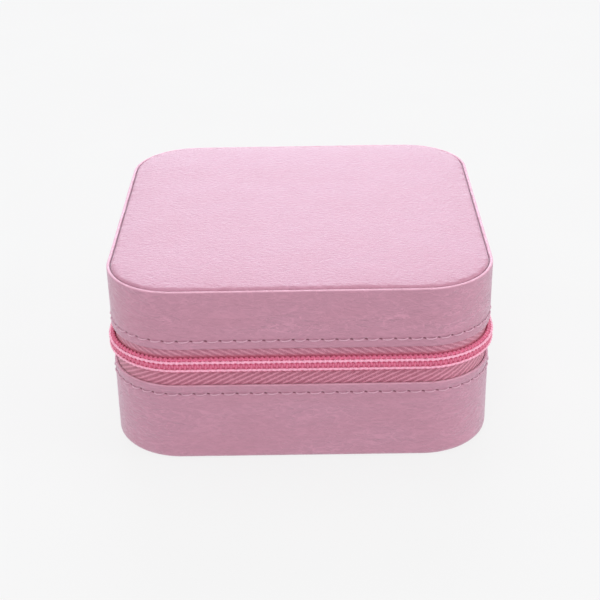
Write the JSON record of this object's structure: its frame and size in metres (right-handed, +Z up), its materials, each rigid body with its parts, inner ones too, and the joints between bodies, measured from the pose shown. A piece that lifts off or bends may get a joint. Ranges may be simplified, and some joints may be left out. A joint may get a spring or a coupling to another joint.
{
  "type": "zip-round jewellery case",
  "caption": "Small square leather-covered case with a padded hinged lid, a coil zip round three sides, and a velvet tray of ring rolls and compartments.",
  "frame": {"origin": "centre of the underside, on the table", "axes": "+Z up, -Y to the front where the zip runs, +Y to the leather hinge, +X to the side where the closed zip's slider is parked"},
  "size_m": [0.107, 0.1015, 0.05],
  "materials": {
    "leather": "semi-matt, fine pebbled grain",
    "board": "matt grey board",
    "foam": "open-cell foam",
    "velvet": "short-pile velvet",
    "thread": "twisted thread",
    "zip_tape": "herringbone twill",
    "zip_coil": "satin nylon",
    "elastic": "ribbed elastic",
    "gilt_metal": "polished light gold"
  },
  "bodies": {
    "base": {"base_bottom_leather": "leather", "base_band_leather": "leather", "base_board": "board", "base_floor_lining": "velvet", "base_liner_wall": "velvet", "base_stitching": "thread", "tray_partition": "velvet", "zip_tape_lower": "zip_tape", "zip_coil_lower": "zip_coil", "zip_top_stop_lower": "zip_coil", "leather_hinge_strip": "leather", "hinge_facing": "velvet", "ring_roll_1": "velvet", "ring_roll_2": "velvet", "ring_roll_3": "velvet", "ring_roll_4": "velvet", "ring_roll_5": "velvet", "ring_roll_6": "velvet", "ring_roll_7": "velvet"},
    "lid": {"lid_top_leather": "leather", "lid_foam_pad": "foam", "lid_band_leather": "leather", "lid_board": "board", "lid_ceiling_lining": "velvet", "lid_liner_wall": "velvet", "lid_stitching": "thread", "zip_tape_upper": "zip_tape", "zip_coil_upper": "zip_coil", "zip_top_stop_upper": "zip_coil", "necklace_strip": "velvet", "snap_studs": "gilt_metal", "elastic_pocket": "velvet", "pocket_elastic": "elastic"},
    "slider": {"zip_slider": "gilt_metal"},
    "pull_link": {"pull_link": "gilt_metal"},
    "pull_tab": {"pull_tab": "gilt_metal"},
    "divider_front": {"divider_front": "velvet"},
    "divider_back": {"divider_back": "velvet"},
    "hook_1": {"hook_strap_1": "velvet", "snap_cap_1": "gilt_metal"},
    "hook_2": {"hook_strap_2": "velvet", "snap_cap_2": "gilt_metal"},
    "hook_3": {"hook_strap_3": "velvet", "snap_cap_3": "gilt_metal"}
  },
  "joints": [
    {"name": "lid_hinge", "type": "hinge", "parent": "base", "child": "lid", "pos_m": [0, 0.0512, 0.02765], "axis": [-1, 0, 0], "range_deg": [0, 180], "deforming": ["leather_hinge_strip", "hinge_facing"]},
    {"name": "zip_slide", "type": "slide", "parent": "base", "child": "slider", "axis": [0, -1, 0], "range_m": [0, 0.048]},
    {"name": "pull_link_swing", "type": "hinge", "parent": "slider", "child": "pull_link", "pos_m": [0.05425, 0.0242, 0.0284], "axis": [0, -1, 0], "range_deg": [0, 150]},
    {"name": "pull_tab_swing", "type": "hinge", "parent": "pull_link", "child": "pull_tab", "pos_m": [0.05425, 0.0242, 0.0232], "axis": [1, 0, 0], "range_deg": [-60, 60]},
    {"name": "divider_front_lift", "type": "slide", "parent": "base", "child": "divider_front", "axis": [0, 0, 1], "range_m": [0, 0.016]},
    {"name": "divider_back_lift", "type": "slide", "parent": "base", "child": "divider_back", "axis": [0, 0, 1], "range_m": [0, 0.016]},
    {"name": "hook_1_swing", "type": "hinge", "parent": "lid", "child": "hook_1", "pos_m": [-0.021, -0.0364, 0.0424], "axis": [-1, 0, 0], "range_deg": [0, 100]},
    {"name": "hook_2_swing", "type": "hinge", "parent": "lid", "child": "hook_2", "pos_m": [0, -0.0364, 0.0424], "axis": [-1, 0, 0], "range_deg": [0, 100]},
    {"name": "hook_3_swing", "type": "hinge", "parent": "lid", "child": "hook_3", "pos_m": [0.021, -0.0364, 0.0424], "axis": [-1, 0, 0], "range_deg": [0, 100]}
  ]
}
